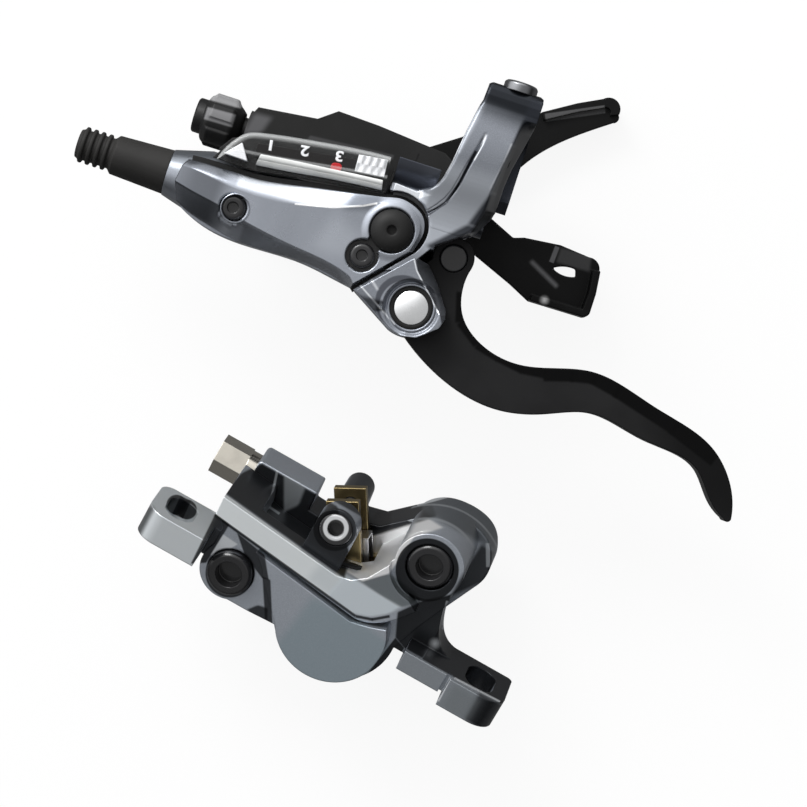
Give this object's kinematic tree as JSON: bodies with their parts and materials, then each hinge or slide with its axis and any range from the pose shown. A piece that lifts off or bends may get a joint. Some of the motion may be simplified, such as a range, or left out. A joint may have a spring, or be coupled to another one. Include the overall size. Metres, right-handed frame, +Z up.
{
  "type": "hydraulic disc brake",
  "caption": "Bicycle hydraulic disc brake: flat-bar brake lever with built-in reservoir and three-speed shift levers, with its post-mount two-piston caliper.",
  "frame": {"origin": "centre of the handlebar bore, in the middle of the clamp's length", "axes": "+X along the handlebar towards the lever's tip, +Y back towards the rider, +Z up from the bar towards the camera; the caliper lies beside the lever unit, as pictured"},
  "size_m": [0.158, 0.1416, 0.0517],
  "materials": {
    "body_paint": "satin metallic grey",
    "lid_paint": "satin metallic grey",
    "blade_paint": "satin black",
    "bright_steel": "bright",
    "nickel_steel": "nickel plated",
    "black_steel": "black oxide",
    "spring_steel": "plain",
    "brass_metal": "plain",
    "bare_aluminium": "machined",
    "pad_steel": "yellow zinc",
    "pad_compound": "coarse",
    "piston_resin": "moulded",
    "bearing_plastic": "moulded",
    "black_plastic": "fine grain",
    "lever_plastic": "fine grain",
    "seal_rubber": "smooth",
    "boot_rubber": "matt",
    "clear_plastic": "polished",
    "display_black": "gloss",
    "display_grey": "frosted",
    "display_white": "moulded",
    "needle_red": "moulded"
  },
  "bodies": {
    "fixed_parts": {"lever_housing": "body_paint", "clamp_band": "body_paint", "reservoir_lid": "lid_paint", "caliper_outer_half": "body_paint", "caliper_inner_half": "body_paint", "pivot_pin": "bright_steel", "pivot_clip": "bright_steel", "clamp_hinge_pin": "bright_steel", "clamp_bolt": "nickel_steel", "pivot_bushes": "bearing_plastic", "lid_screws": "black_steel", "bleed_screw": "black_plastic", "bleed_screw_seal": "seal_rubber", "reservoir_diaphragm": "seal_rubber", "return_spring": "spring_steel", "piston_circlip": "spring_steel", "hose_nut": "nickel_steel", "hose_olive": "brass_metal", "hose_boot": "boot_rubber", "shifter_housing": "black_plastic", "shifter_cover": "black_plastic", "shifter_screws": "black_steel", "shift_axle": "bright_steel", "shift_axle_ring": "spring_steel", "indicator_window": "clear_plastic", "indicator_plate": "display_black", "indicator_diffuser": "display_grey", "indicator_reflector": "display_white", "body_bolts": "black_steel", "fluid_port_seal": "seal_rubber", "piston_seals": "seal_rubber", "pad_spring": "spring_steel", "pad_axle": "black_steel", "hose_fitting": "nickel_steel", "bleed_nipple": "nickel_steel"},
    "brake_lever": {"lever_blade": "blade_paint", "cross_pin": "black_steel"},
    "master_piston_set": {"master_piston": "bare_aluminium", "primary_cup": "seal_rubber", "secondary_cup": "seal_rubber", "push_rod": "bright_steel"},
    "thumb_lever": {"main_lever": "lever_plastic"},
    "finger_lever": {"release_lever": "lever_plastic"},
    "drum": {"cable_drum": "bearing_plastic"},
    "adjuster": {"barrel_adjuster": "black_plastic"},
    "needle": {"indicator_needle": "needle_red"},
    "outer_pad": {"outer_piston": "piston_resin", "outer_pad_plate": "pad_steel", "outer_pad_lining": "pad_compound"},
    "inner_pad": {"inner_piston": "piston_resin", "inner_pad_plate": "pad_steel", "inner_pad_lining": "pad_compound"}
  },
  "joints": [
    {"name": "brake_lever_hinge", "type": "hinge", "parent": "fixed_parts", "child": "brake_lever", "pos_m": [-0.0063, -0.035, 0], "axis": [0, 0, 1], "range_deg": [0, 22], "stiffness_Nm_per_rad": 0.6, "springref_deg": -11.46},
    {"name": "master_piston_slide", "type": "slide", "parent": "fixed_parts", "child": "master_piston_set", "axis": [-1, 0, 0], "range_m": [0, 0.0055], "deforming": ["return_spring"]},
    {"name": "thumb_lever_hinge", "type": "hinge", "parent": "fixed_parts", "child": "thumb_lever", "pos_m": [-0.014, -0.008, -0.0274], "axis": [0, 0, 1], "range_deg": [-32, 0], "stiffness_Nm_per_rad": 0.15, "springref_deg": 17.19},
    {"name": "release_lever_hinge", "type": "hinge", "parent": "fixed_parts", "child": "finger_lever", "pos_m": [-0.014, -0.008, -0.023], "axis": [0, 0, 1], "range_deg": [0, 12], "stiffness_Nm_per_rad": 0.15, "springref_deg": -17.19},
    {"name": "drum_hinge", "type": "hinge", "parent": "fixed_parts", "child": "drum", "pos_m": [-0.014, -0.008, -0.0187], "axis": [0, 0, 1], "range_deg": [0, 60]},
    {"name": "needle_slide", "type": "slide", "parent": "fixed_parts", "child": "needle", "axis": [-0.9884, -0.1518, 0], "range_m": [0, 0.0151]},
    {"name": "adjuster_hinge", "type": "hinge", "parent": "fixed_parts", "child": "adjuster", "pos_m": [-0.0652, -0.0081, -0.0206], "axis": [1, 0, 0], "continuous": true},
    {"name": "outer_pad_slide", "type": "slide", "parent": "fixed_parts", "child": "outer_pad", "axis": [0.0731, 0.3591, -0.9304], "range_m": [0, 0.0005]},
    {"name": "inner_pad_slide", "type": "slide", "parent": "fixed_parts", "child": "inner_pad", "axis": [-0.0731, -0.3591, 0.9304], "range_m": [0, 0.0005]}
  ],
  "couplings": [
    {"joint": "master_piston_slide", "follows": "brake_lever_hinge", "m_per_rad": 0.0137},
    {"joint": "needle_slide", "follows": "drum_hinge", "m_per_rad": 0.014324},
    {"joint": "inner_pad_slide", "follows": "outer_pad_slide", "ratio": 1}
  ]
}
